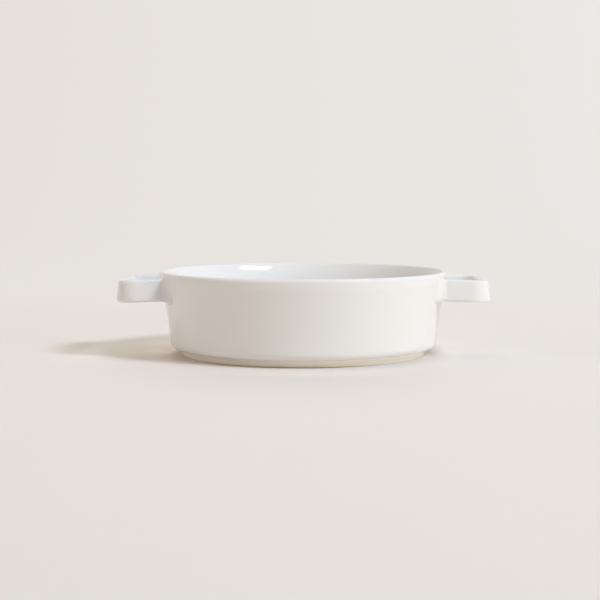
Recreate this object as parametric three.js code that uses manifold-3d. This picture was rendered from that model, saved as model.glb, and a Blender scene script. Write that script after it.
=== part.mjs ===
// Round porcelain baking dish with a strap handle on each side.
// Millimetres, +Z up, +X towards the right handle, origin at the centre of the foot on the table.
import * as THREE from "three";
import { mergeVertices } from "three/addons/utils/BufferGeometryUtils.js";
import Module from "manifold-3d";

const { clamp, degToRad } = THREE.MathUtils;
const wasm = await Module();
wasm.setup();

// Bowl: one turned piece of clay, whose wall curves outwards on its way up
const RIM_DIAMETER = 160;
const DISH_HEIGHT = 46.5;
const WALL_THICKNESS = 4.6;
const WALL_LEAN_LOW = degToRad(3.5); // from upright, level with the top of the foot
const WALL_LEAN_HIGH = degToRad(14); // from upright, under the lip
const BASE_CORNER_RADIUS = 5; // outside, between the wall and the ledge over the foot
const FLOOR_THICKNESS = 5;
const FLOOR_CORNER_RADIUS = 9; // inside, between the wall and the floor

// Lip: a band that stands nearly upright outside and opens wider inside
const LIP_BAND_HEIGHT = 5.6; // from the top of the rim to the bend outside
const LIP_BAND_LEAN = degToRad(5);
const LIP_EDGE_RADIUS = 1.8;
const LIP_FLARE_HEIGHT = 5.2; // from the top of the rim to the bend inside
const LIP_FLARE_LEAN = degToRad(23);
const LIP_INNER_EDGE_RADIUS = 1.2;

// Foot: a low ring, set back under the wall
const FOOT_HEIGHT = 3.8;
const FOOT_SETBACK = 6; // from the line of the wall to the ring's outer face
const FOOT_RING_WIDTH = 5.5;
const FOOT_RECESS = 3; // height of the underside above the table
const FOOT_EDGE_RADIUS = 0.8;
const FOOT_FILLET_RADIUS = 1.2; // between the ring and the underside

// Handles: a strap on edge, bent into a loop that a finger goes through
const HANDLE_REACH = 22.4; // beyond the rim
const HANDLE_WIDTH = 60;
const HANDLE_HEIGHT = 12;
const HANDLE_DROP = 3.4; // from the top of the rim to the top of the strap
const HANDLE_DROOP = degToRad(2); // slope of the loop, outer end down
const STRAP_TOP_THICKNESS = 3.8;
const STRAP_OUTER_DRAFT = degToRad(8); // slope of the outer face, thicker at the bottom
const STRAP_INNER_DRAFT = degToRad(3); // slope of the face towards the finger gap
const STRAP_EDGE_RADIUS = 1.6;
const STRAP_BEND_RADIUS = 8; // of the strap's middle line

// Slip joints: liquid clay between each arm and the wall, wiped to a fillet round the arm
const SLIP_BED = 0.8;
const SLIP_SIDE_RADIUS = 4.5; // of the fillet in front of the arm and behind it
const SLIP_EDGE_RADIUS = 2.2; // of the fillet over the arm and under it
const SEAM_GAP = 0.3; // kept between neighbouring pieces

// Fineness of the curves
const ROUND_STEPS = 72;
const ARC_DIVISIONS = 2;
const STRAP_STEPS = 48;
const SLIP_STEPS = 16;

// Heights and radii that the bowl's outline goes through
const rimRadius = RIM_DIAMETER / 2;
const lipCentre = DISH_HEIGHT - LIP_EDGE_RADIUS;
const lipCentreRadius = rimRadius - LIP_EDGE_RADIUS;
const bandBottom = DISH_HEIGHT - LIP_BAND_HEIGHT;
const flareBottom = DISH_HEIGHT - LIP_FLARE_HEIGHT;
const floorTop = FOOT_RECESS + FLOOR_THICKNESS;

// The band is tangent to the rounded edge of the lip
function bandLine(z) {
  const edge = LIP_EDGE_RADIUS / Math.cos(LIP_BAND_LEAN);
  return lipCentreRadius + edge + (z - lipCentre) * Math.tan(LIP_BAND_LEAN);
}

// The wall is an arc about a point outside the dish, so a line further inwards has a larger radius
const leanGrowth = Math.sin(WALL_LEAN_HIGH) - Math.sin(WALL_LEAN_LOW);
const arcRadius = (bandBottom - FOOT_HEIGHT) / leanGrowth;
const arcCentre = FOOT_HEIGHT - arcRadius * Math.sin(WALL_LEAN_LOW);
const arcCentreRadius = bandLine(bandBottom) + arcRadius * Math.cos(WALL_LEAN_HIGH);

function wallLean(z, inwards = 0) {
  return Math.asin((z - arcCentre) / (arcRadius + inwards));
}

function wallLine(z, inwards = 0) {
  return arcCentreRadius - (arcRadius + inwards) * Math.cos(wallLean(z, inwards));
}

function outerRadius(z) {
  return z < bandBottom ? wallLine(z) : bandLine(z);
}

// Draws the stretch of wall between two heights
function drawWall(path, fromZ, toZ, inwards = 0) {
  const from = Math.PI - wallLean(fromZ, inwards);
  const to = Math.PI - wallLean(toZ, inwards);
  path.absarc(arcCentreRadius, arcCentre, arcRadius + inwards, from, to, to < from);
}

// Turns an outline of radius and height round the Z axis
function turned(path) {
  const lathe = new THREE.LatheGeometry(path.getPoints(ARC_DIVISIONS), ROUND_STEPS);
  return lathe.rotateX(Math.PI / 2);
}

function bowlGeometry() {
  const footOuter = wallLine(FOOT_HEIGHT) - FOOT_SETBACK;
  const footInner = footOuter - FOOT_RING_WIDTH;
  const filletRadius = footInner - FOOT_FILLET_RADIUS;
  const baseCorner = Math.min(BASE_CORNER_RADIUS, FOOT_SETBACK);
  const baseCentre = FOOT_HEIGHT + baseCorner;
  const innerEdge = DISH_HEIGHT - LIP_INNER_EDGE_RADIUS;
  const flareSpread = (innerEdge - flareBottom) * Math.tan(LIP_FLARE_LEAN);
  const flareTop = wallLine(flareBottom, WALL_THICKNESS) + flareSpread;
  const tangentEdge = flareTop + LIP_INNER_EDGE_RADIUS / Math.cos(LIP_FLARE_LEAN);
  const innerEdgeRadius = Math.min(tangentEdge, lipCentreRadius);
  const cornerCentre = floorTop + FLOOR_CORNER_RADIUS;
  const cornerInwards = WALL_THICKNESS + FLOOR_CORNER_RADIUS;
  const quarter = Math.PI / 2;

  const path = new THREE.Path();
  path.moveTo(0, FOOT_RECESS);
  path.lineTo(filletRadius, FOOT_RECESS);
  path.absarc(filletRadius, FOOT_RECESS - FOOT_FILLET_RADIUS, FOOT_FILLET_RADIUS, quarter, 0, true);
  path.absarc(footInner + FOOT_EDGE_RADIUS, FOOT_EDGE_RADIUS, FOOT_EDGE_RADIUS, 2 * quarter, 3 * quarter);
  path.absarc(footOuter - FOOT_EDGE_RADIUS, FOOT_EDGE_RADIUS, FOOT_EDGE_RADIUS, 3 * quarter, 4 * quarter);
  path.lineTo(footOuter, FOOT_HEIGHT);
  const baseLean = wallLean(baseCentre, baseCorner);
  path.absarc(wallLine(baseCentre, baseCorner), baseCentre, baseCorner, -quarter, -baseLean);
  drawWall(path, baseCentre, bandBottom);
  path.absarc(lipCentreRadius, lipCentre, LIP_EDGE_RADIUS, -LIP_BAND_LEAN, quarter);
  path.absarc(innerEdgeRadius, innerEdge, LIP_INNER_EDGE_RADIUS, quarter, 2 * quarter - LIP_FLARE_LEAN);
  drawWall(path, flareBottom, cornerCentre, WALL_THICKNESS);
  const cornerLean = wallLean(cornerCentre, cornerInwards);
  const cornerCentreRadius = wallLine(cornerCentre, cornerInwards);
  path.absarc(cornerCentreRadius, cornerCentre, FLOOR_CORNER_RADIUS, -cornerLean, -quarter, true);
  path.lineTo(0, floorTop);
  return turned(path);
}

// A merged closed mesh as a solid that can be cut
function solidOf(geometry) {
  const bare = geometry.clone();
  bare.deleteAttribute("normal");
  bare.deleteAttribute("uv");
  const merged = mergeVertices(bare);
  return new wasm.Manifold(
    new wasm.Mesh({
      numProp: 3,
      vertProperties: merged.getAttribute("position").array,
      triVerts: new Uint32Array(merged.getIndex().array),
    }),
  );
}

function geometryOf(solid) {
  const cut = solid.getMesh();
  const geometry = new THREE.BufferGeometry();
  geometry.setAttribute("position", new THREE.BufferAttribute(cut.vertProperties, 3));
  geometry.setIndex(new THREE.BufferAttribute(cut.triVerts, 1));
  geometry.computeVertexNormals();
  return geometry;
}

// The space that the bowl takes up, with a gap round it, for cutting what is stuck to its wall
function bowlSpace(gap) {
  const path = new THREE.Path();
  path.moveTo(0, FOOT_HEIGHT);
  path.lineTo(wallLine(FOOT_HEIGHT, -gap), FOOT_HEIGHT);
  drawWall(path, FOOT_HEIGHT, bandBottom, -gap);
  path.lineTo(bandLine(DISH_HEIGHT) + gap, DISH_HEIGHT);
  path.lineTo(0, DISH_HEIGHT);
  return solidOf(turned(path));
}

// Section of the strap, with x down and y towards the inside of the loop
const halfHeight = HANDLE_HEIGHT / 2;
const halfTop = STRAP_TOP_THICKNESS / 2;
const outerBottom = halfTop + HANDLE_HEIGHT * Math.tan(STRAP_OUTER_DRAFT);
const innerBottom = halfTop + HANDLE_HEIGHT * Math.tan(STRAP_INNER_DRAFT);

function strapSection(grow = 0) {
  const corners = [
    new THREE.Vector2(-halfHeight - grow, -halfTop - grow),
    new THREE.Vector2(halfHeight + grow, -outerBottom - grow),
    new THREE.Vector2(halfHeight + grow, innerBottom + grow),
    new THREE.Vector2(-halfHeight - grow, halfTop + grow),
  ];
  const edge = Math.min(STRAP_EDGE_RADIUS, halfTop) + grow;
  const shape = new THREE.Shape();
  corners.forEach((corner, i) => {
    const before = corners.at(i - 1);
    const after = corners[(i + 1) % corners.length];
    const start = corner.clone().lerp(before, edge / corner.distanceTo(before));
    const end = corner.clone().lerp(after, edge / corner.distanceTo(after));
    if (i === 0) shape.moveTo(start.x, start.y);
    else shape.lineTo(start.x, start.y);
    shape.quadraticCurveTo(corner.x, corner.y, end.x, end.y);
  });
  shape.closePath();
  return shape;
}

// Places of the strap's middle line, before the loop is tipped
const armY = HANDLE_WIDTH / 2 - outerBottom;
const endX = rimRadius + HANDLE_REACH - outerBottom;
const strapTop = DISH_HEIGHT - HANDLE_DROP;
const strapMiddle = strapTop - halfHeight;
const rootX = Math.sqrt(wallLine(strapTop - HANDLE_HEIGHT) ** 2 - (HANDLE_WIDTH / 2) ** 2) - WALL_THICKNESS;
const tip = new THREE.Matrix4()
  .makeTranslation(rimRadius, 0, strapMiddle)
  .multiply(new THREE.Matrix4().makeRotationY(HANDLE_DROOP))
  .multiply(new THREE.Matrix4().makeTranslation(-rimRadius, 0, 0));

// A flat path lifted into space, level at Z = 0
class LevelCurve extends THREE.Curve {
  constructor(path) {
    super();
    this.path = path;
  }

  getPoint(t, target = new THREE.Vector3()) {
    const flat = this.path.getPoint(t);
    return target.set(flat.x, flat.y, 0);
  }
}

function strapGeometry(grow = 0) {
  const bend = STRAP_BEND_RADIUS;
  const path = new THREE.Path();
  path.moveTo(rootX, -armY);
  path.lineTo(endX - bend, -armY);
  path.absarc(endX - bend, bend - armY, bend, -Math.PI / 2, 0);
  path.absarc(endX - bend, armY - bend, bend, 0, Math.PI / 2);
  path.lineTo(rootX, armY);
  const strap = new THREE.ExtrudeGeometry(strapSection(grow), {
    steps: STRAP_STEPS,
    curveSegments: ARC_DIVISIONS,
    extrudePath: new LevelCurve(path),
  });
  return strap.applyMatrix4(tip);
}

// How far the wiped slip spreads from the arm at a distance from the wall: a quarter circle
function slipSpread(distance, radius) {
  const left = clamp(radius - distance, 0, radius);
  return radius - Math.sqrt(radius ** 2 - left ** 2);
}

// A length of strap at the root of one arm, spread out like a trumpet where it meets the wall
function trumpetGeometry(side) {
  const sideY = side * armY;
  const root = new THREE.Vector2(rootX, sideY);
  const outside = new THREE.Vector2(rimRadius + SLIP_SIDE_RADIUS, sideY);
  const path = new THREE.Path(side < 0 ? [root, outside] : [outside, root]); // as the strap runs
  const trumpet = new THREE.ExtrudeGeometry(strapSection(), {
    steps: SLIP_STEPS,
    curveSegments: ARC_DIVISIONS,
    extrudePath: new LevelCurve(path),
  });
  const place = trumpet.getAttribute("position");
  const point = new THREE.Vector3();
  for (let i = 0; i < place.count; i += 1) {
    point.fromBufferAttribute(place, i).applyMatrix4(tip);
    const distance = Math.hypot(point.x, point.y) - outerRadius(point.z);
    const across = place.getY(i) - sideY;
    const halfStrap = across * side > 0 ? outerBottom : innerBottom;
    const wider = 1 + slipSpread(distance, SLIP_SIDE_RADIUS) / halfStrap;
    const taller = 1 + slipSpread(distance, SLIP_EDGE_RADIUS) / halfHeight;
    place.setY(i, sideY + across * wider);
    place.setZ(i, place.getZ(i) * taller);
  }
  return trumpet.applyMatrix4(tip);
}

function handleGeometry() {
  const strap = solidOf(strapGeometry());
  return geometryOf(strap.subtract(bowlSpace(SLIP_BED + 2 * SEAM_GAP)));
}

function slipGeometry(side) {
  const strapAndGap = solidOf(strapGeometry(SEAM_GAP)).subtract(bowlSpace(SLIP_BED + SEAM_GAP));
  const trumpet = solidOf(trumpetGeometry(side));
  return geometryOf(trumpet.subtract(bowlSpace(SEAM_GAP)).subtract(strapAndGap));
}

// Glazed porcelain, the same white on every piece
const dish = new THREE.Group();

function addPiece(name, geometry, turn = 0) {
  const glaze = new THREE.MeshStandardMaterial({ color: 0xf1f0ec, roughness: 0.12, metalness: 0 });
  const piece = new THREE.Mesh(geometry, glaze);
  piece.name = name;
  piece.rotation.z = turn;
  dish.add(piece);
}

// The left handle is the right one turned half round, so its front arm is the right one's back arm
addPiece("bowl", bowlGeometry());
addPiece("right_handle", handleGeometry());
addPiece("right_front_slip_joint", slipGeometry(-1));
addPiece("right_back_slip_joint", slipGeometry(1));
addPiece("left_handle", handleGeometry(), Math.PI);
addPiece("left_front_slip_joint", slipGeometry(1), Math.PI);
addPiece("left_back_slip_joint", slipGeometry(-1), Math.PI);

export default dish;
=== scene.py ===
# %% [markdown]
# # A round porcelain baking dish
#
# The dish is pressed from white clay: a bowl whose wall curves outwards to a short upright lip, with a low
# foot ring, and two strap handles that are stuck on with liquid clay (slip) before the whole thing is glazed
# and fired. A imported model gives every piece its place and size. This lesson models each piece again with a
# fine, smooth surface in that place, and then gives it a glaze.

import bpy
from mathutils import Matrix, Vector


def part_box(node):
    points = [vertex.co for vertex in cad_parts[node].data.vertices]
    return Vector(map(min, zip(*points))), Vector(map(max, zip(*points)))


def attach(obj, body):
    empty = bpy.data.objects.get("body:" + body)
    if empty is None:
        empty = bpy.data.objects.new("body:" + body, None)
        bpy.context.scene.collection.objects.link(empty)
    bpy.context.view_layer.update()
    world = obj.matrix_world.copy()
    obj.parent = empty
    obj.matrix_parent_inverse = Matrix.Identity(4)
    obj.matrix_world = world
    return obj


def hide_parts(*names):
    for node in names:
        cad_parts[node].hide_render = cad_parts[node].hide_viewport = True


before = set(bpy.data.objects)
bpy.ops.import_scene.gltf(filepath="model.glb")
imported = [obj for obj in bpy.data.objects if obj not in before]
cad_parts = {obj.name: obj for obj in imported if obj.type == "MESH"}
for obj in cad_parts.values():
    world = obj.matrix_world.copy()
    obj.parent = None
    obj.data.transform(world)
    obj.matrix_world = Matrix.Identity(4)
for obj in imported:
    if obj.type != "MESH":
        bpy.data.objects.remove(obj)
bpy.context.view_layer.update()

from math import asin, cos, pi, radians, sin, tan

import bmesh
import bpy
from mathutils import Matrix, Vector
from mathutils.bvhtree import BVHTree

MM = 0.001  # the scene is in metres, and the dish is measured in millimetres
print("nodes:", sorted(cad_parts))

# %% [markdown]
# ## Camera
#
# The photograph looks at the front of the dish from just above the rim. The rim shows as a thin ellipse, and
# how thin it is gives the height of the camera. Its width at the front and at the back gives the distance. A
# 90 mm lens from 84 cm away fits both, so the camera is placed by these few sizes.

# %% Place the camera
LENS = 90.0  # in millimetres, as lenses are marked
CAMERA_DISTANCE = 835.8 * MM
CAMERA_HEIGHT = 96.0 * MM
CAMERA_ASIDE = -1.9 * MM
LOOK_DOWN = radians(4.525)

camera_data = bpy.data.cameras.new("camera")
camera_data.lens = LENS
camera = bpy.data.objects.new("camera", camera_data)
camera.location = (CAMERA_ASIDE, -CAMERA_DISTANCE, CAMERA_HEIGHT)
camera.rotation_euler = (pi / 2 - LOOK_DOWN, 0, 0)
bpy.context.scene.collection.objects.link(camera)
bpy.context.scene.camera = camera
bpy.context.scene.view_settings.view_transform = "Standard"
print("camera at", [round(x, 4) for x in camera.location])

# %% [markdown]
# ## Small helpers
#
# A mesh that is modelled in a bmesh has to end up in an object of its own, at the origin. Materials are made
# of nodes that are joined by links. Both happen many times, so each gets a short function.

# %% Helpers for objects and nodes


def finish_mesh(name, shape, smooth=True):
    """Turns a bmesh into an object at the origin and frees the bmesh."""
    for face in shape.faces:
        face.smooth = smooth
    mesh = bpy.data.meshes.new(name)
    shape.to_mesh(mesh)
    shape.free()
    piece = bpy.data.objects.new(name, mesh)
    bpy.context.scene.collection.objects.link(piece)
    print(name, "has", len(mesh.polygons), "faces")
    return piece


def add_node(tree, kind, **settings):
    """Adds a node; settings that name an input fill it, and the others are the node's own."""
    node = tree.nodes.new(kind)
    for key, value in settings.items():
        socket = node.inputs.get(key.replace("_", " ").title())
        if socket is None:
            setattr(node, key, value)
        else:
            socket.default_value = value
    return node


print("helpers:", finish_mesh.__name__, add_node.__name__)


# %% [markdown]
# ## Floor and backdrop
#
# The dish stands on a plain, pale, warm surface that sweeps up behind it without an edge. A photographer
# bends a sheet of card for this. Here one long edge is pushed along the floor, turned up through a quarter
# circle and pushed up the wall, so floor and backdrop are one sheet.

# %% Bend the sweep
SWEEP_WIDTH = 6.0
FLOOR_FRONT = -3.0
FLOOR_BACK = 1.4
SWEEP_RADIUS = 0.8
BACKDROP_HEIGHT = 2.4
SWEEP_STEPS = 24


def push_edges(shape, edges, vector):
    """Extrudes a chain of edges along a vector and returns the new chain."""
    made = bmesh.ops.extrude_edge_only(shape, edges=edges)["geom"]
    moved = {item for item in made if isinstance(item, bmesh.types.BMVert)}
    bmesh.ops.translate(shape, verts=list(moved), vec=vector)
    return [item for item in made if isinstance(item, bmesh.types.BMEdge) and moved.issuperset(item.verts)]


def turn_edges(shape, edges, centre, axis, angle, steps):
    """Spins a chain of edges about an axis and returns the last chain."""
    verts = list({vert for edge in edges for vert in edge.verts})
    turned = bmesh.ops.spin(
        shape, geom=verts + edges, cent=centre, axis=axis, dvec=(0, 0, 0), angle=angle, steps=steps
    )
    return [item for item in turned["geom_last"] if isinstance(item, bmesh.types.BMEdge)]


sheet = bmesh.new()
ends = [sheet.verts.new((side * SWEEP_WIDTH / 2, FLOOR_FRONT, 0)) for side in (-1, 1)]
chain = [sheet.edges.new(ends)]
chain = push_edges(sheet, chain, (0, FLOOR_BACK - FLOOR_FRONT, 0))
chain = turn_edges(sheet, chain, (0, FLOOR_BACK, SWEEP_RADIUS), (1, 0, 0), pi / 2, SWEEP_STEPS)
push_edges(sheet, chain, (0, 0, BACKDROP_HEIGHT))
bmesh.ops.recalc_face_normals(sheet, faces=sheet.faces)
sweep = finish_mesh("sweep", sheet)

# %% [markdown]
# Card is not one even colour. A slow noise shifts its warmth a little, and a fine noise gives it a slight
# tooth, so the floor does not look like a bare computer plane. Near the dish it is plain card that takes the
# light and the shadow. Further back a real backdrop has lamps of its own. Here the camera, and the mirror of
# the glaze, see a pale glow there and far out on every side instead, a little brighter and cooler towards
# the right.

# %% Colour the sweep
CARD_COLOUR = (0.870, 0.818, 0.768, 1)
CARD_COLOUR_DEEP = (0.865, 0.811, 0.759, 1)
GLOW_LEFT = (0.787, 0.748, 0.711, 1)
GLOW_RIGHT = (0.835, 0.807, 0.784, 1)
GLOW_HALF_WIDTH = 0.6
GLOW_START = 0.03
GLOW_FULL = 0.5
GLOW_AROUND_START = 0.6
GLOW_AROUND_FULL = 1.1

card = bpy.data.materials.new("warm_card")
card.use_nodes = True
tree = card.node_tree
shader = tree.nodes["Principled BSDF"]
shader.inputs["Roughness"].default_value = 0.85
shader.inputs["Specular IOR Level"].default_value = 0.2
place = add_node(tree, "ShaderNodeTexCoord")
clouds = add_node(tree, "ShaderNodeTexNoise", scale=3.0, detail=4.0)
tint = add_node(tree, "ShaderNodeMix", data_type="RGBA")
tint.inputs["A"].default_value = CARD_COLOUR
tint.inputs["B"].default_value = CARD_COLOUR_DEEP
tooth = add_node(tree, "ShaderNodeTexNoise", scale=900.0, detail=2.0)
bump = add_node(tree, "ShaderNodeBump", strength=0.15, distance=0.0002)
tree.links.new(place.outputs["Object"], clouds.inputs["Vector"])
tree.links.new(place.outputs["Object"], tooth.inputs["Vector"])
tree.links.new(clouds.outputs["Fac"], tint.inputs["Factor"])
tree.links.new(tint.outputs["Result"], shader.inputs["Base Color"])
tree.links.new(tooth.outputs["Fac"], bump.inputs["Height"])
tree.links.new(bump.outputs["Normal"], shader.inputs["Normal"])


def add_seen_rays(tree):
    """A socket that is 1 for rays of the camera, of mirrors and of glass, and 0 for rays of light."""
    ray = add_node(tree, "ShaderNodeLightPath")
    mirrored = add_node(tree, "ShaderNodeMath", operation="MAXIMUM")
    through = add_node(tree, "ShaderNodeMath", operation="MAXIMUM")
    tree.links.new(ray.outputs["Is Camera Ray"], mirrored.inputs[0])
    tree.links.new(ray.outputs["Is Glossy Ray"], mirrored.inputs[1])
    tree.links.new(mirrored.outputs["Value"], through.inputs[0])
    tree.links.new(ray.outputs["Is Transmission Ray"], through.inputs[1])
    return through.outputs["Value"]


where = add_node(tree, "ShaderNodeSeparateXYZ")
across = add_node(tree, "ShaderNodeMapRange")
across.inputs["From Min"].default_value = -GLOW_HALF_WIDTH
across.inputs["From Max"].default_value = GLOW_HALF_WIDTH
back = add_node(tree, "ShaderNodeMapRange", interpolation_type="SMOOTHSTEP")
back.inputs["From Min"].default_value = GLOW_START
back.inputs["From Max"].default_value = GLOW_FULL
distance = add_node(tree, "ShaderNodeVectorMath", operation="LENGTH")
around = add_node(tree, "ShaderNodeMapRange", interpolation_type="SMOOTHSTEP")
around.inputs["From Min"].default_value = GLOW_AROUND_START
around.inputs["From Max"].default_value = GLOW_AROUND_FULL
either = add_node(tree, "ShaderNodeMath", operation="MAXIMUM")
glow_colour = add_node(tree, "ShaderNodeMix", data_type="RGBA")
glow_colour.inputs["A"].default_value = GLOW_LEFT
glow_colour.inputs["B"].default_value = GLOW_RIGHT
glow = add_node(tree, "ShaderNodeEmission")
share = add_node(tree, "ShaderNodeMath", operation="MULTIPLY")
blend = add_node(tree, "ShaderNodeMixShader")
tree.links.new(place.outputs["Object"], where.inputs["Vector"])
tree.links.new(where.outputs["X"], across.inputs["Value"])
tree.links.new(where.outputs["Y"], back.inputs["Value"])
tree.links.new(across.outputs["Result"], glow_colour.inputs["Factor"])
tree.links.new(glow_colour.outputs["Result"], glow.inputs["Color"])
tree.links.new(place.outputs["Object"], distance.inputs[0])
tree.links.new(distance.outputs["Value"], around.inputs["Value"])
tree.links.new(back.outputs["Result"], either.inputs[0])
tree.links.new(around.outputs["Result"], either.inputs[1])
tree.links.new(either.outputs["Value"], share.inputs[0])
tree.links.new(add_seen_rays(tree), share.inputs[1])
tree.links.new(share.outputs["Value"], blend.inputs["Fac"])
tree.links.new(shader.outputs["BSDF"], blend.inputs[1])
tree.links.new(glow.outputs["Emission"], blend.inputs[2])
tree.links.new(blend.outputs["Shader"], tree.nodes["Material Output"].inputs["Surface"])
sweep.data.materials.append(card)
print("the sweep has", len(tree.nodes), "shader nodes")

# %% [markdown]
# ## Light
#
# The shadow of the dish falls to the left and a little to the back, and it is about as long as the dish is
# high, so the main lamp stands at the right, in front, some 40 degrees up. The shadow's edge is soft over a
# few millimetres, so this lamp is about a fifth as wide as it is far away. It is cool like a window, and a
# dimmer lamp round it, twice as wide, is its curtain. The side that they do not reach is warm, so the lamps
# that fill in the shadows are warmer: a low one in front, a wide one at each side, one overhead and one
# behind. They stand for light that comes back from the whole room. The glaze mirrors the curtain alone, as a
# long soft glint, and the other lamps are hidden from mirror rays.

# %% Hang the lamps
LAMP_TARGET = Vector((0, 0, 0.02))


def hang_lamp(name, azimuth, elevation, distance, width, height, power, colour, mirrored=False):
    """A flat lamp that looks at the dish; azimuth is to the right of the camera's side, in degrees."""
    data = bpy.data.lights.new(name, "AREA")
    data.shape = "RECTANGLE"
    data.size = width
    data.size_y = height
    data.energy = power
    data.color = colour
    lamp = bpy.data.objects.new(name, data)
    a, e = radians(azimuth), radians(elevation)
    way = Vector((sin(a) * cos(e), -cos(a) * cos(e), sin(e)))
    lamp.location = LAMP_TARGET + way * distance
    lamp.rotation_euler = way.to_track_quat("Z", "Y").to_euler()
    lamp.visible_glossy = mirrored
    bpy.context.scene.collection.objects.link(lamp)
    print(name, "hangs at", [round(x, 2) for x in lamp.location])


hang_lamp("window", 54, 41, 3.0, 0.65, 0.65, 39.5, (0.73, 0.84, 1.0))
hang_lamp("window_curtain", 50, 41, 3.0, 1.35, 0.65, 16.0, (0.80, 0.88, 1.0), mirrored=True)
hang_lamp("low_fill", 40, 7, 1.6, 0.3, 0.3, 4.5, (1.0, 0.78, 0.42))
hang_lamp("right_fill", 84, 14, 1.6, 1.0, 0.7, 3.5, (1.0, 0.90, 0.78))
hang_lamp("left_fill", -80, 25, 1.6, 1.3, 1.3, 8.6, (1.0, 0.83, 0.67))
hang_lamp("overhead", 0, 88, 1.8, 1.4, 1.4, 9.4, (1.0, 1.0, 1.0))
hang_lamp("back_light", 180, 35, 1.8, 1.1, 1.1, 9.3, (1.0, 0.97, 0.89))

# %% [markdown]
# The glaze mirrors the room, so the room needs a colour. It is the colour of the backdrop, seen only by the
# camera and in mirrors, and it lights nothing, because the lamps already do that.

# %% Paint the room
ROOM_COLOUR = (0.79, 0.755, 0.72, 1)

world = bpy.data.worlds.new("room")
bpy.context.scene.world = world
world.use_nodes = True
tree = world.node_tree
room = tree.nodes["Background"]
room.inputs["Color"].default_value = ROOM_COLOUR
tree.links.new(add_seen_rays(tree), room.inputs["Strength"])
print("the room is", ROOM_COLOUR[:3])

# %% [markdown]
# ## Rounded outlines
#
# Clay has no sharp edges. Each outline here is a chain of straight edges through a few corners, and every
# corner is then rounded by a vertex bevel with a radius of its own. The long straight stretches are divided,
# so that the smooth shading of a rounding does not bleed across a whole wall.

# %% Helper for rounded outlines
ARC_SEGMENTS = 10
STRAIGHT_STEP = 1.6 * MM


def rounded_outline(corners, closed=False):
    """A bmesh with a chain of edges; corners are (point, radius) pairs, and a radius of 0 stays sharp."""
    shape = bmesh.new()
    verts = [shape.verts.new(point) for point, radius in corners]
    followers = verts[1:] + verts[:1] if closed else verts[1:]
    for vert, follower in zip(verts, followers):
        shape.edges.new((vert, follower))
    count = len(corners)
    for i, (point, radius) in enumerate(corners):
        if radius == 0:
            continue
        to_last = Vector(corners[i - 1][0]) - Vector(point)
        to_next = Vector(corners[(i + 1) % count][0]) - Vector(point)
        reach = radius / tan(to_last.angle(to_next) / 2)
        bmesh.ops.bevel(
            shape, geom=[verts[i]], offset=reach, offset_type="OFFSET", affect="VERTICES",
            segments=ARC_SEGMENTS, profile=0.5, material=-1,
        )
    for edge in list(shape.edges):
        cuts = int(edge.calc_length() / STRAIGHT_STEP)
        if cuts:
            bmesh.ops.subdivide_edges(shape, edges=[edge], cuts=cuts)
    return shape


print("a rounding has", ARC_SEGMENTS, "segments, and a straight edge is cut every", STRAIGHT_STEP / MM, "mm")


# %% [markdown]
# ## Bowl
#
# The bowl comes out of one mould, and a potter would turn its model on a lathe. So it is turned here too:
# half of its cross-section is drawn from the middle of the underside, round the foot, up the wall, over the
# lip and down the inside to the middle of the floor, and then spun round the upright axis. The wall is an
# arc that leans out more and more, up to a short lip that stands almost upright. The rim and the height
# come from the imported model, and the smaller sizes were read from the photograph.

# %% Turn the bowl
bowl_low, bowl_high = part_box("bowl")
RIM_RADIUS = bowl_high.x
DISH_HEIGHT = bowl_high.z
WALL_THICKNESS = 4.6 * MM
WALL_LEAN_LOW = radians(3.5)
WALL_LEAN_HIGH = radians(14)
BASE_CORNER_RADIUS = 4.2 * MM
FLOOR_TOP = 8.0 * MM
FLOOR_CORNER_RADIUS = 9.0 * MM
LIP_BAND_HEIGHT = 5.6 * MM
LIP_BAND_LEAN = radians(5)
LIP_EDGE_RADIUS = 1.8 * MM
LIP_FLARE_HEIGHT = 3.5 * MM
LIP_FLARE_LEAN = radians(28)
LIP_INNER_EDGE_RADIUS = 1.2 * MM
LIP_BEND_RADIUS = 14.0 * MM
FLARE_BEND_RADIUS = 20.0 * MM
FOOT_HEIGHT = 3.8 * MM
FOOT_SETBACK = 6.0 * MM
FOOT_RING_WIDTH = 5.5 * MM
FOOT_RECESS = 3.0 * MM
FOOT_EDGE_RADIUS = 0.8 * MM
FOOT_FILLET_RADIUS = 1.2 * MM
LEDGE_FILLET_RADIUS = 0.4 * MM
WALL_STEPS = 16
ROUND_STEPS = 192

band_bottom = DISH_HEIGHT - LIP_BAND_HEIGHT
flare_bottom = DISH_HEIGHT - LIP_FLARE_HEIGHT


def band_line(z):
    """Radius of the lip's outer face at a height, tangent to the rounded edge at the top."""
    edge = LIP_EDGE_RADIUS / cos(LIP_BAND_LEAN)
    return RIM_RADIUS - LIP_EDGE_RADIUS + edge + (z - DISH_HEIGHT + LIP_EDGE_RADIUS) * tan(LIP_BAND_LEAN)


arc_radius = (band_bottom - FOOT_HEIGHT) / (sin(WALL_LEAN_HIGH) - sin(WALL_LEAN_LOW))
arc_centre = FOOT_HEIGHT - arc_radius * sin(WALL_LEAN_LOW)
arc_centre_radius = band_line(band_bottom) + arc_radius * cos(WALL_LEAN_HIGH)


def wall_lean(z, inwards=0.0):
    """Lean of the wall from upright at a height, on a line that lies further inwards."""
    return asin((z - arc_centre) / (arc_radius + inwards))


def wall_line(z, inwards=0.0):
    """Radius of the wall at a height, on a line that lies further inwards."""
    return arc_centre_radius - (arc_radius + inwards) * cos(wall_lean(z, inwards))


def wall_points(start, end, inwards=0.0):
    """Points up or down the curved wall, none of them rounded."""
    heights = [start + (end - start) * step / WALL_STEPS for step in range(WALL_STEPS + 1)]
    return [((wall_line(z, inwards), 0, z), 0) for z in heights]


def wall_foot(start, z, inwards=0.0):
    """Radius at a lower height, straight on from the wall's lean at the start."""
    return wall_line(start, inwards) - (start - z) * tan(wall_lean(start, inwards))


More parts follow.
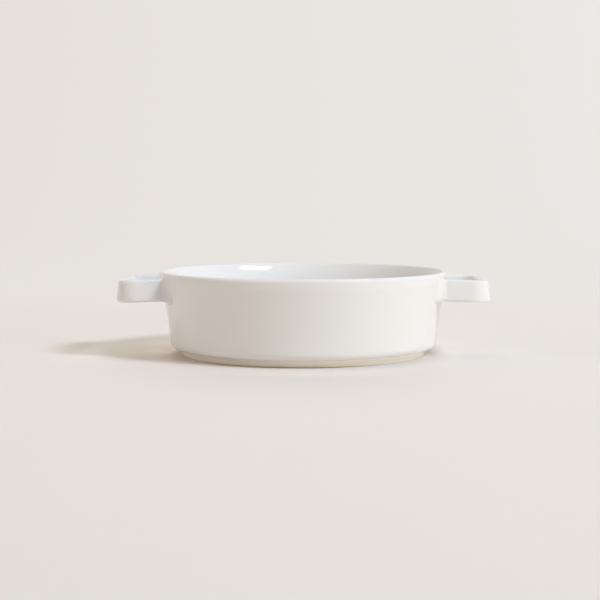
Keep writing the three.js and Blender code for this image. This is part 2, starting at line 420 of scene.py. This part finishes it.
foot_outer = wall_line(FOOT_HEIGHT) - FOOT_SETBACK
foot_inner = foot_outer - FOOT_RING_WIDTH
base_top = FOOT_HEIGHT + 1.2 * BASE_CORNER_RADIUS
corner_top = FLOOR_TOP + 1.2 * FLOOR_CORNER_RADIUS
flare_radius = wall_line(flare_bottom, WALL_THICKNESS)
flare_top = flare_radius + LIP_FLARE_HEIGHT * tan(LIP_FLARE_LEAN)
bend_gap = LIP_BEND_RADIUS / 4  # kept free of wall points, for the roundings of the two bends
bowl_corners = [
    ((0, 0, FOOT_RECESS), 0),
    ((foot_inner, 0, FOOT_RECESS), FOOT_FILLET_RADIUS),
    ((foot_inner, 0, 0), FOOT_EDGE_RADIUS),
    ((foot_outer, 0, 0), FOOT_EDGE_RADIUS),
    ((foot_outer, 0, FOOT_HEIGHT), LEDGE_FILLET_RADIUS),
    ((wall_foot(base_top, FOOT_HEIGHT), 0, FOOT_HEIGHT), BASE_CORNER_RADIUS),
    *wall_points(base_top, band_bottom - bend_gap),
    ((wall_line(band_bottom), 0, band_bottom), LIP_BEND_RADIUS),
    ((band_line(DISH_HEIGHT), 0, DISH_HEIGHT), LIP_EDGE_RADIUS),
    ((flare_top, 0, DISH_HEIGHT), LIP_INNER_EDGE_RADIUS),
    ((flare_radius, 0, flare_bottom), FLARE_BEND_RADIUS),
    *wall_points(flare_bottom - bend_gap, corner_top, WALL_THICKNESS),
    ((wall_foot(corner_top, FLOOR_TOP, WALL_THICKNESS), 0, FLOOR_TOP), FLOOR_CORNER_RADIUS),
    ((0, 0, FLOOR_TOP), 0),
]
bowl_shape = rounded_outline(bowl_corners)
bmesh.ops.spin(
    bowl_shape, geom=bowl_shape.verts[:] + bowl_shape.edges[:], cent=(0, 0, 0), axis=(0, 0, 1),
    dvec=(0, 0, 0), angle=2 * pi, steps=ROUND_STEPS, use_merge=True,
)
bmesh.ops.remove_doubles(bowl_shape, verts=bowl_shape.verts, dist=0.001 * MM)
bmesh.ops.recalc_face_normals(bowl_shape, faces=bowl_shape.faces)
bowl_surface = BVHTree.FromBMesh(bowl_shape)
bowl = finish_mesh("porcelain_bowl", bowl_shape)
print("foot ring from", round(foot_inner / MM, 2), "to", round(foot_outer / MM, 2), "mm")

# %% [markdown]
# ## Handles
#
# Each handle is a strap of clay that stands on edge and is bent into a loop for a finger. Its mould is
# drafted, so both faces slope and the strap is thicker at the bottom. The section is drawn once at the root
# of the front arm, pushed along the arm, turned round the first corner, pushed along the end, turned round
# the second corner and pushed back to the wall. The whole loop then tips down a little at its outer end.

# %% Bend the strap
HANDLE_REACH = 22.4 * MM
HANDLE_WIDTH = 60.0 * MM
HANDLE_HEIGHT = 12.0 * MM
HANDLE_DROP = 3.4 * MM
HANDLE_DROOP = radians(2)
STRAP_TOP_THICKNESS = 3.8 * MM
STRAP_OUTER_DRAFT = radians(8)
STRAP_INNER_DRAFT = radians(15)
STRAP_EDGE_RADIUS = 1.6 * MM
STRAP_INNER_TOP_RADIUS = 2.4 * MM
STRAP_BEND_RADIUS = 8.0 * MM
BEND_STEPS = 24
ARM_PUSHES = 8
BURIED = 2.0 * MM  # how far an arm's end goes into the wall

half_height = HANDLE_HEIGHT / 2
half_top = STRAP_TOP_THICKNESS / 2
outer_bottom = half_top + HANDLE_HEIGHT * tan(STRAP_OUTER_DRAFT)
inner_bottom = half_top + HANDLE_HEIGHT * tan(STRAP_INNER_DRAFT)
arm_y = HANDLE_WIDTH / 2 - outer_bottom
end_x = RIM_RADIUS + HANDLE_REACH - outer_bottom
strap_middle = DISH_HEIGHT - HANDLE_DROP - half_height
root_x = (wall_line(strap_middle - half_height) ** 2 - arm_y ** 2) ** 0.5 - BURIED
tip = (
    Matrix.Translation((RIM_RADIUS, 0, strap_middle))
    @ Matrix.Rotation(HANDLE_DROOP, 4, "Y")
    @ Matrix.Translation((-RIM_RADIUS, 0, 0))
)


def strap_section(x):
    """The strap's rounded section across the front arm, level, with its middle line at Z = 0."""
    corners = [
        ((x, -arm_y - half_top, half_height), STRAP_EDGE_RADIUS),
        ((x, -arm_y - outer_bottom, -half_height), STRAP_EDGE_RADIUS),
        ((x, -arm_y + inner_bottom, -half_height), STRAP_EDGE_RADIUS),
        ((x, -arm_y + half_top, half_height), STRAP_INNER_TOP_RADIUS),
    ]
    return rounded_outline(corners, closed=True)


def strap_handle(name, turn):
    """One strap loop at the right of the dish, turned about the upright axis."""
    shape = strap_section(root_x)
    first = shape.edges[:]
    chain = first
    corner_x = end_x - STRAP_BEND_RADIUS
    corner_y = arm_y - STRAP_BEND_RADIUS
    for push in range(ARM_PUSHES):
        chain = push_edges(shape, chain, ((corner_x - root_x) / ARM_PUSHES, 0, 0))
    chain = turn_edges(shape, chain, (corner_x, -corner_y, 0), (0, 0, 1), pi / 2, BEND_STEPS)
    for push in range(ARM_PUSHES):
        chain = push_edges(shape, chain, (0, 2 * corner_y / ARM_PUSHES, 0))
    chain = turn_edges(shape, chain, (corner_x, corner_y, 0), (0, 0, 1), pi / 2, BEND_STEPS)
    for push in range(ARM_PUSHES):
        chain = push_edges(shape, chain, ((root_x - corner_x) / ARM_PUSHES, 0, 0))
    bmesh.ops.contextual_create(shape, geom=first)
    bmesh.ops.contextual_create(shape, geom=chain)
    bmesh.ops.transform(shape, matrix=Matrix.Rotation(turn, 4, "Z") @ tip, verts=shape.verts)
    bmesh.ops.recalc_face_normals(shape, faces=shape.faces)
    return finish_mesh(name, shape)


right_handle = strap_handle("right_strap_handle", 0)
left_handle = strap_handle("left_strap_handle", pi)

# %% [markdown]
# ## Slip joints
#
# Before firing, each arm is stuck to the wall with slip, and the slip that squeezes out is wiped to a fillet
# with a finger. The fillet is a band round the arm: it starts at an upright line on the strap and slopes,
# slightly hollow, down to the wall. It is wide at the sides of the arm, narrow above and below it, and a
# little fuller under the left arms. A ray is cast along the arm for every point of the band, so that it
# follows the round wall and the lip above it. The band is closed on its hidden side, inside the wall and
# the strap.

# %% Wipe the slip
SLIP_LINE = RIM_RADIUS - 2.8 * MM  # where the slip starts on the arm, upright all round it
SLIP_SIDE_SPREAD = 4.0 * MM
HIDDEN_SIDE_SPREAD = 2.0 * MM  # on the left back arm, where a finger hardly reaches
SLIP_TOP_SPREAD = 0.4 * MM
RIGHT_BOTTOM_SPREAD = 0.4 * MM
LEFT_BOTTOM_SPREAD = 2.2 * MM
SLIP_FULLNESS = 0.5  # 0 is a hollow quarter circle, 1 is a straight slope
SLIP_STEPS = 12
SLIP_DEPTH = 1.0 * MM  # how far the hidden side lies inside the wall and the strap
RAY_START = RIM_RADIUS + HANDLE_REACH


def wall_distance(y, z):
    """X at which the level arm's line through (y, z) meets the wall."""
    start = tip @ Vector((RAY_START, y, z))
    way = tip.to_3x3() @ Vector((-1, 0, 0))
    hit, normal, index, distance = bowl_surface.ray_cast(start, way)
    return RAY_START - distance


def away_from_arm(vert, middle):
    """The direction square to the section's outline at a vertex, away from the middle of the arm."""
    last, following = [edge.other_vert(vert).co for edge in vert.link_edges]
    along = (following - last).normalized()
    away = Vector((0, along.z, -along.y))
    return away if away.dot(vert.co - middle) > 0 else -away


def slip_joint(name, side, turn, side_spread, bottom_spread):
    """The fillet round the front (side 1) or back (side -1) arm of the right handle, turned about Z."""
    shape = strap_section(0)
    place = shape.verts.layers.int.new("place")
    bmesh.ops.scale(shape, vec=(1, side, 1), verts=shape.verts)
    middle = Vector((0, -side * arm_y, 0))
    starts = []
    for vert in shape.verts:
        vert[place] = len(starts)
        starts.append((vert.co.copy(), away_from_arm(vert, middle)))

    def settle(chain, spread, lift, inwards=0.0):
        for vert in {vert for edge in chain for vert in edge.verts}:
            point, away = starts[vert[place]]
            edge_spread = SLIP_TOP_SPREAD if away.z > 0 else bottom_spread
            reach = edge_spread + (side_spread - edge_spread) * away.y ** 2
            thickness = SLIP_LINE - wall_distance(point.y, point.z)
            vert.co = point + away * (spread * reach - inwards)
            vert.co.x = wall_distance(vert.co.y, vert.co.z) + lift * thickness - inwards

    first = shape.edges[:]
    settle(first, 0, 1, SLIP_DEPTH)
    chain = first
    for step in range(SLIP_STEPS + 1):
        share = step / SLIP_STEPS
        hollow = 1 - SLIP_FULLNESS
        chain = push_edges(shape, chain, (0, 0, 0))
        settle(
            chain,
            hollow * (1 - cos(pi / 2 * share)) + SLIP_FULLNESS * share,
            hollow * (1 - sin(pi / 2 * share)) + SLIP_FULLNESS * (1 - share),
        )
        for edge in chain:
            edge.smooth = 0 < step < SLIP_STEPS
    chain = push_edges(shape, chain, (0, 0, 0))
    settle(chain, 1, 0, SLIP_DEPTH)
    chain = push_edges(shape, chain, (0, 0, 0))
    settle(chain, 0, 0, SLIP_DEPTH)
    bmesh.ops.bridge_loops(shape, edges=first + chain)
    bmesh.ops.transform(shape, matrix=Matrix.Rotation(turn, 4, "Z") @ tip, verts=shape.verts)
    bmesh.ops.recalc_face_normals(shape, faces=shape.faces)
    return finish_mesh(name, shape)


slip_shapes = {
    "right_front_slip": (1, 0, SLIP_SIDE_SPREAD, RIGHT_BOTTOM_SPREAD),
    "right_back_slip": (-1, 0, SLIP_SIDE_SPREAD, RIGHT_BOTTOM_SPREAD),
    "left_front_slip": (-1, pi, SLIP_SIDE_SPREAD, LEFT_BOTTOM_SPREAD),
    "left_back_slip": (1, pi, HIDDEN_SIDE_SPREAD, LEFT_BOTTOM_SPREAD),
}
slip_joints = {
    place + "_joint": slip_joint(place + "_fillet", *shape)
    for place, shape in slip_shapes.items()
}

# %% [markdown]
# ## Glaze
#
# The glaze is a thin coat of clear glass on white clay. It is very smooth, but not perfect: it ran a little
# in the kiln, so reflections ripple over a centimetre or two, and it has a fine orange peel. Its colour
# drifts a little between warm and cool, and a few tiny dark specks are burnt into it. All pieces share this,
# so it is a node group that gives a colour, a roughness and a height for the bump.

# %% Build the glaze group


def glaze_group():
    """A node group that turns a place on the dish into the glaze's colour, roughness and height."""
    group = bpy.data.node_groups.new("clear_glaze", "ShaderNodeTree")
    inputs = (
        ("Position", "NodeSocketVector"),
        ("Warm Colour", "NodeSocketColor"),
        ("Cool Colour", "NodeSocketColor"),
        ("Speck Colour", "NodeSocketColor"),
        ("Smoothest", "NodeSocketFloat"),
        ("Roughest", "NodeSocketFloat"),
    )
    for name, kind in inputs:
        group.interface.new_socket(name, in_out="INPUT", socket_type=kind)
    outputs = (
        ("Colour", "NodeSocketColor"),
        ("Roughness", "NodeSocketFloat"),
        ("Height", "NodeSocketFloat"),
    )
    for name, kind in outputs:
        group.interface.new_socket(name, in_out="OUTPUT", socket_type=kind)
    given = add_node(group, "NodeGroupInput")
    result = add_node(group, "NodeGroupOutput")
    link = group.links.new

    drift = add_node(group, "ShaderNodeTexNoise", scale=28.0, detail=3.0)
    ripple = add_node(group, "ShaderNodeTexNoise", scale=60.0, detail=1.0)
    peel = add_node(group, "ShaderNodeTexNoise", scale=420.0, detail=2.0)
    grains = add_node(group, "ShaderNodeTexVoronoi", scale=210.0)
    for texture in (drift, ripple, peel, grains):
        link(given.outputs["Position"], texture.inputs["Vector"])

    tint = add_node(group, "ShaderNodeMix", data_type="RGBA")
    link(drift.outputs["Fac"], tint.inputs["Factor"])
    link(given.outputs["Warm Colour"], tint.inputs["A"])
    link(given.outputs["Cool Colour"], tint.inputs["B"])

    speck_size = add_node(group, "ShaderNodeMapRange")
    speck_size.inputs["From Min"].default_value = 0.02
    speck_size.inputs["From Max"].default_value = 0.05
    speck_size.inputs["To Min"].default_value = 1.0
    speck_size.inputs["To Max"].default_value = 0.0
    link(grains.outputs["Distance"], speck_size.inputs["Value"])
    pick = add_node(group, "ShaderNodeSeparateColor")
    link(grains.outputs["Color"], pick.inputs["Color"])
    rare = add_node(group, "ShaderNodeMath", operation="GREATER_THAN")
    rare.inputs[1].default_value = 0.985
    link(pick.outputs["Red"], rare.inputs[0])
    speck = add_node(group, "ShaderNodeMath", operation="MULTIPLY")
    link(speck_size.outputs["Result"], speck.inputs[0])
    link(rare.outputs["Value"], speck.inputs[1])
    spotted = add_node(group, "ShaderNodeMix", data_type="RGBA")
    link(speck.outputs["Value"], spotted.inputs["Factor"])
    link(tint.outputs["Result"], spotted.inputs["A"])
    link(given.outputs["Speck Colour"], spotted.inputs["B"])
    link(spotted.outputs["Result"], result.inputs["Colour"])

    gloss = add_node(group, "ShaderNodeMapRange")
    link(ripple.outputs["Fac"], gloss.inputs["Value"])
    link(given.outputs["Smoothest"], gloss.inputs["To Min"])
    link(given.outputs["Roughest"], gloss.inputs["To Max"])
    link(gloss.outputs["Result"], result.inputs["Roughness"])

    fine = add_node(group, "ShaderNodeMath", operation="MULTIPLY_ADD")
    fine.inputs[1].default_value = 0.08
    link(peel.outputs["Fac"], fine.inputs[0])
    link(ripple.outputs["Fac"], fine.inputs[2])
    link(fine.outputs["Value"], result.inputs["Height"])
    return group


clear_glaze = glaze_group()
print("the glaze group has", len(clear_glaze.nodes), "nodes")

# %% [markdown]
# ## Finishes
#
# The bowl and the handles take the glaze on white porcelain. The ring that the dish stands on is wiped clean
# before firing, or it would stick to the kiln shelf, so the lowest fraction of a millimetre shows bare,
# matte, cream-coloured clay. Above it, up to the top of the foot, the colour is painted light: a paler cream
# that stands in for the bounce light under the ledge, which the lamps don't bring. The slip takes the same
# glaze, a little thicker in its fillet, which makes it a touch cooler.

# %% Make the finishes
WARM_GLAZE = (0.880, 0.875, 0.868, 1)
COOL_GLAZE = (0.870, 0.874, 0.878, 1)
WARM_SLIP = (0.874, 0.868, 0.860, 1)
COOL_SLIP = (0.862, 0.867, 0.870, 1)
SPECK = (0.80, 0.76, 0.70, 1)
BARE_CLAY = (0.80, 0.76, 0.68, 1)
# Painted light: the paler cream that the foot takes, for bounce light under the ledge that the lamps don't
# bring, and the height it reaches.
PAINTED_FOOT_LIGHT = (0.97, 0.945, 0.905, 1)
PAINTED_LIGHT_TOP = 3.5 * MM
BARE_ROUGHNESS = 0.7
WIPED_HEIGHT = 0.25 * MM
GLAZE_IOR = 1.5
GLAZE_RELIEF = 0.02 * MM


def glazed(name, warm, cool):
    """A glazed finish and the nodes that a variant needs: its tree, its glaze and its shader."""
    finish = bpy.data.materials.new(name)
    finish.use_nodes = True
    tree = finish.node_tree
    shader = tree.nodes["Principled BSDF"]
    shader.inputs["IOR"].default_value = GLAZE_IOR
    place = add_node(tree, "ShaderNodeTexCoord")
    glaze = add_node(tree, "ShaderNodeGroup", node_tree=clear_glaze)
    glaze.inputs["Warm Colour"].default_value = warm
    glaze.inputs["Cool Colour"].default_value = cool
    glaze.inputs["Speck Colour"].default_value = SPECK
    glaze.inputs["Smoothest"].default_value = 0.03
    glaze.inputs["Roughest"].default_value = 0.07
    bump = add_node(tree, "ShaderNodeBump", distance=GLAZE_RELIEF)
    tree.links.new(place.outputs["Object"], glaze.inputs["Position"])
    tree.links.new(glaze.outputs["Colour"], shader.inputs["Base Color"])
    tree.links.new(glaze.outputs["Roughness"], shader.inputs["Roughness"])
    tree.links.new(glaze.outputs["Height"], bump.inputs["Height"])
    tree.links.new(bump.outputs["Normal"], shader.inputs["Normal"])
    return finish, place, glaze, shader


porcelain, place, glaze, shader = glazed("glaze_on_porcelain", WARM_GLAZE, COOL_GLAZE)
tree = porcelain.node_tree
height = add_node(tree, "ShaderNodeSeparateXYZ")
wiped = add_node(tree, "ShaderNodeMapRange")
wiped.inputs["From Min"].default_value = WIPED_HEIGHT
wiped.inputs["From Max"].default_value = 2 * WIPED_HEIGHT
# Painted light: below 3.5 mm the foot takes a paler cream that stands in for bounce light under the ledge.
painted_light_mask = add_node(tree, "ShaderNodeMapRange")
painted_light_mask.inputs["From Min"].default_value = PAINTED_LIGHT_TOP
painted_light_mask.inputs["From Max"].default_value = PAINTED_LIGHT_TOP + WIPED_HEIGHT
foot_lit_colour = add_node(tree, "ShaderNodeMix", data_type="RGBA")
foot_lit_colour.inputs["A"].default_value = PAINTED_FOOT_LIGHT
bared = add_node(tree, "ShaderNodeMix", data_type="RGBA")
bared.inputs["A"].default_value = BARE_CLAY
matte = add_node(tree, "ShaderNodeMix")
matte.inputs["A"].default_value = BARE_ROUGHNESS
tree.links.new(place.outputs["Object"], height.inputs["Vector"])
tree.links.new(height.outputs["Z"], painted_light_mask.inputs["Value"])
tree.links.new(height.outputs["Z"], wiped.inputs["Value"])
tree.links.new(painted_light_mask.outputs["Result"], foot_lit_colour.inputs["Factor"])
tree.links.new(wiped.outputs["Result"], bared.inputs["Factor"])
tree.links.new(wiped.outputs["Result"], matte.inputs["Factor"])
tree.links.new(glaze.outputs["Colour"], foot_lit_colour.inputs["B"])
tree.links.new(foot_lit_colour.outputs["Result"], bared.inputs["B"])
tree.links.new(glaze.outputs["Roughness"], matte.inputs["B"])
tree.links.new(bared.outputs["Result"], shader.inputs["Base Color"])
tree.links.new(matte.outputs["Result"], shader.inputs["Roughness"])

slip = glazed("glaze_on_slip", WARM_SLIP, COOL_SLIP)[0]
print("finishes:", porcelain.name, slip.name)

# %% [markdown]
# ## Hand-over
#
# Every new piece rides on the one body of the imported model, stands for one of its nodes, which is hidden,
# and takes its finish.

# %% Hand the pieces over
clay_pieces = {"bowl": bowl, "right_handle": right_handle, "left_handle": left_handle}
for pieces, finish, slot in (
    (clay_pieces, porcelain, "glazed_porcelain"),
    (slip_joints, slip, "glazed_slip"),
):
    for node, piece in pieces.items():
        piece.data.materials.append(finish)
        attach(piece, "root")
        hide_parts(node)
